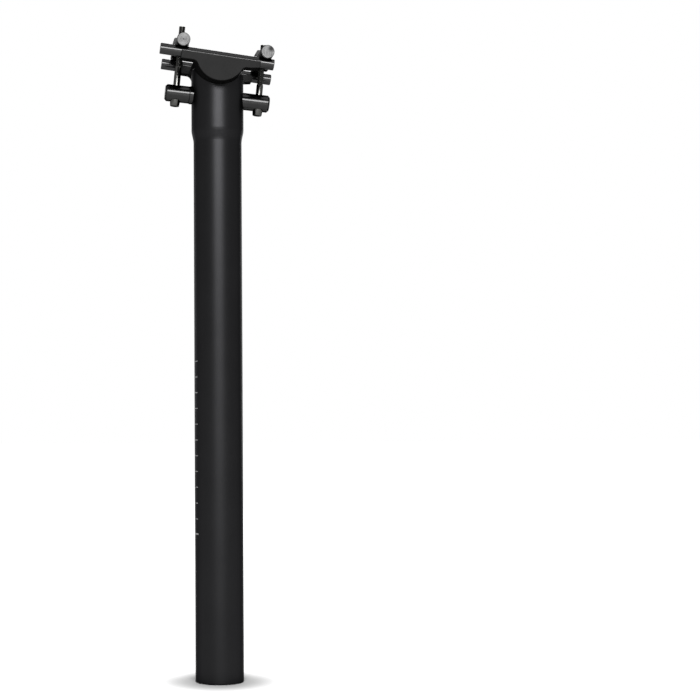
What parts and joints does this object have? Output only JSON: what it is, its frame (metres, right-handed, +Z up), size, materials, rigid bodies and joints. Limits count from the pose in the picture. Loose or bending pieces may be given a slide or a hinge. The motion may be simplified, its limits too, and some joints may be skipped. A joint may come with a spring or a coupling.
{
  "type": "bicycle seatpost",
  "caption": "Straight round seatpost with a swelled head, a tilting saddle rail cradle, cross rods and long bolts from below, shown clamping short rail bars.",
  "frame": {"origin": "centre of the post's lower end", "axes": "+Z up the post's axis to the head, +X towards the front of the bicycle, +Y to the rider's left, along the cross rods"},
  "size_m": [0.0766, 0.056, 0.4191],
  "materials": {
    "post_alloy": "satin black anodised, with a printed insertion scale",
    "barrel_alloy": "bright black anodised, turned",
    "bolt_steel": "dark oxide with rolled threads",
    "cross_rod_alloy": "grey anodised, with bare faced ends",
    "cradle_alloy": "matt black anodised, milled",
    "rail_steel": "dark drawn rod, finely scratched"
  },
  "bodies": {
    "post": {"post": "post_alloy", "front_barrel": "barrel_alloy", "rear_barrel": "barrel_alloy", "barrel_collar": "barrel_alloy"},
    "front_bolt": {"front_bolt": "bolt_steel"},
    "rear_bolt": {"rear_bolt": "bolt_steel"},
    "front_cross_rod": {"front_cross_rod": "cross_rod_alloy"},
    "rear_cross_rod": {"rear_cross_rod": "cross_rod_alloy"},
    "cradle": {"cradle": "cradle_alloy"},
    "near_rail_bar": {"near_rail_bar": "rail_steel"},
    "far_rail_bar": {"far_rail_bar": "rail_steel"}
  },
  "joints": [
    {"name": "cradle_tilt", "type": "hinge", "parent": "post", "child": "cradle", "pos_m": [0, 0, 0.395], "axis": [0, 1, 0], "range_deg": [-5, 5]},
    {"name": "front_cross_rod_lift", "type": "slide", "parent": "post", "child": "front_cross_rod", "axis": [0.1011, 0, 0.9949], "range_m": [-0.0026, 0.0026]},
    {"name": "rear_cross_rod_lift", "type": "slide", "parent": "post", "child": "rear_cross_rod", "axis": [0.1011, 0, 0.9949], "range_m": [-0.0022, 0.0022]},
    {"name": "front_bolt_turn", "type": "hinge", "parent": "post", "child": "front_bolt", "pos_m": [0.02646, 0, 0.37031], "axis": [0.1011, 0, 0.9949], "range_deg": [-1290, 1290]},
    {"name": "rear_bolt_turn", "type": "hinge", "parent": "post", "child": "rear_bolt", "pos_m": [-0.02686, 0, 0.37573], "axis": [0.1011, 0, 0.9949], "range_deg": [-1130, 1130]},
    {"name": "near_rail_slide", "type": "slide", "parent": "cradle", "child": "near_rail_bar", "axis": [0.9914, 0, -0.1305], "range_m": [-0.004, 0.008]},
    {"name": "far_rail_slide", "type": "slide", "parent": "cradle", "child": "far_rail_bar", "axis": [0.9914, 0, -0.1305], "range_m": [-0.004, 0.008]}
  ],
  "couplings": [
    {"joint": "front_cross_rod_lift", "follows": "cradle_tilt", "m_per_rad": -0.028653},
    {"joint": "rear_cross_rod_lift", "follows": "cradle_tilt", "m_per_rad": 0.024995},
    {"joint": "front_bolt_turn", "follows": "cradle_tilt", "ratio": 257.19},
    {"joint": "rear_bolt_turn", "follows": "cradle_tilt", "ratio": -224.35},
    {"joint": "far_rail_slide", "follows": "near_rail_slide", "ratio": 1}
  ]
}
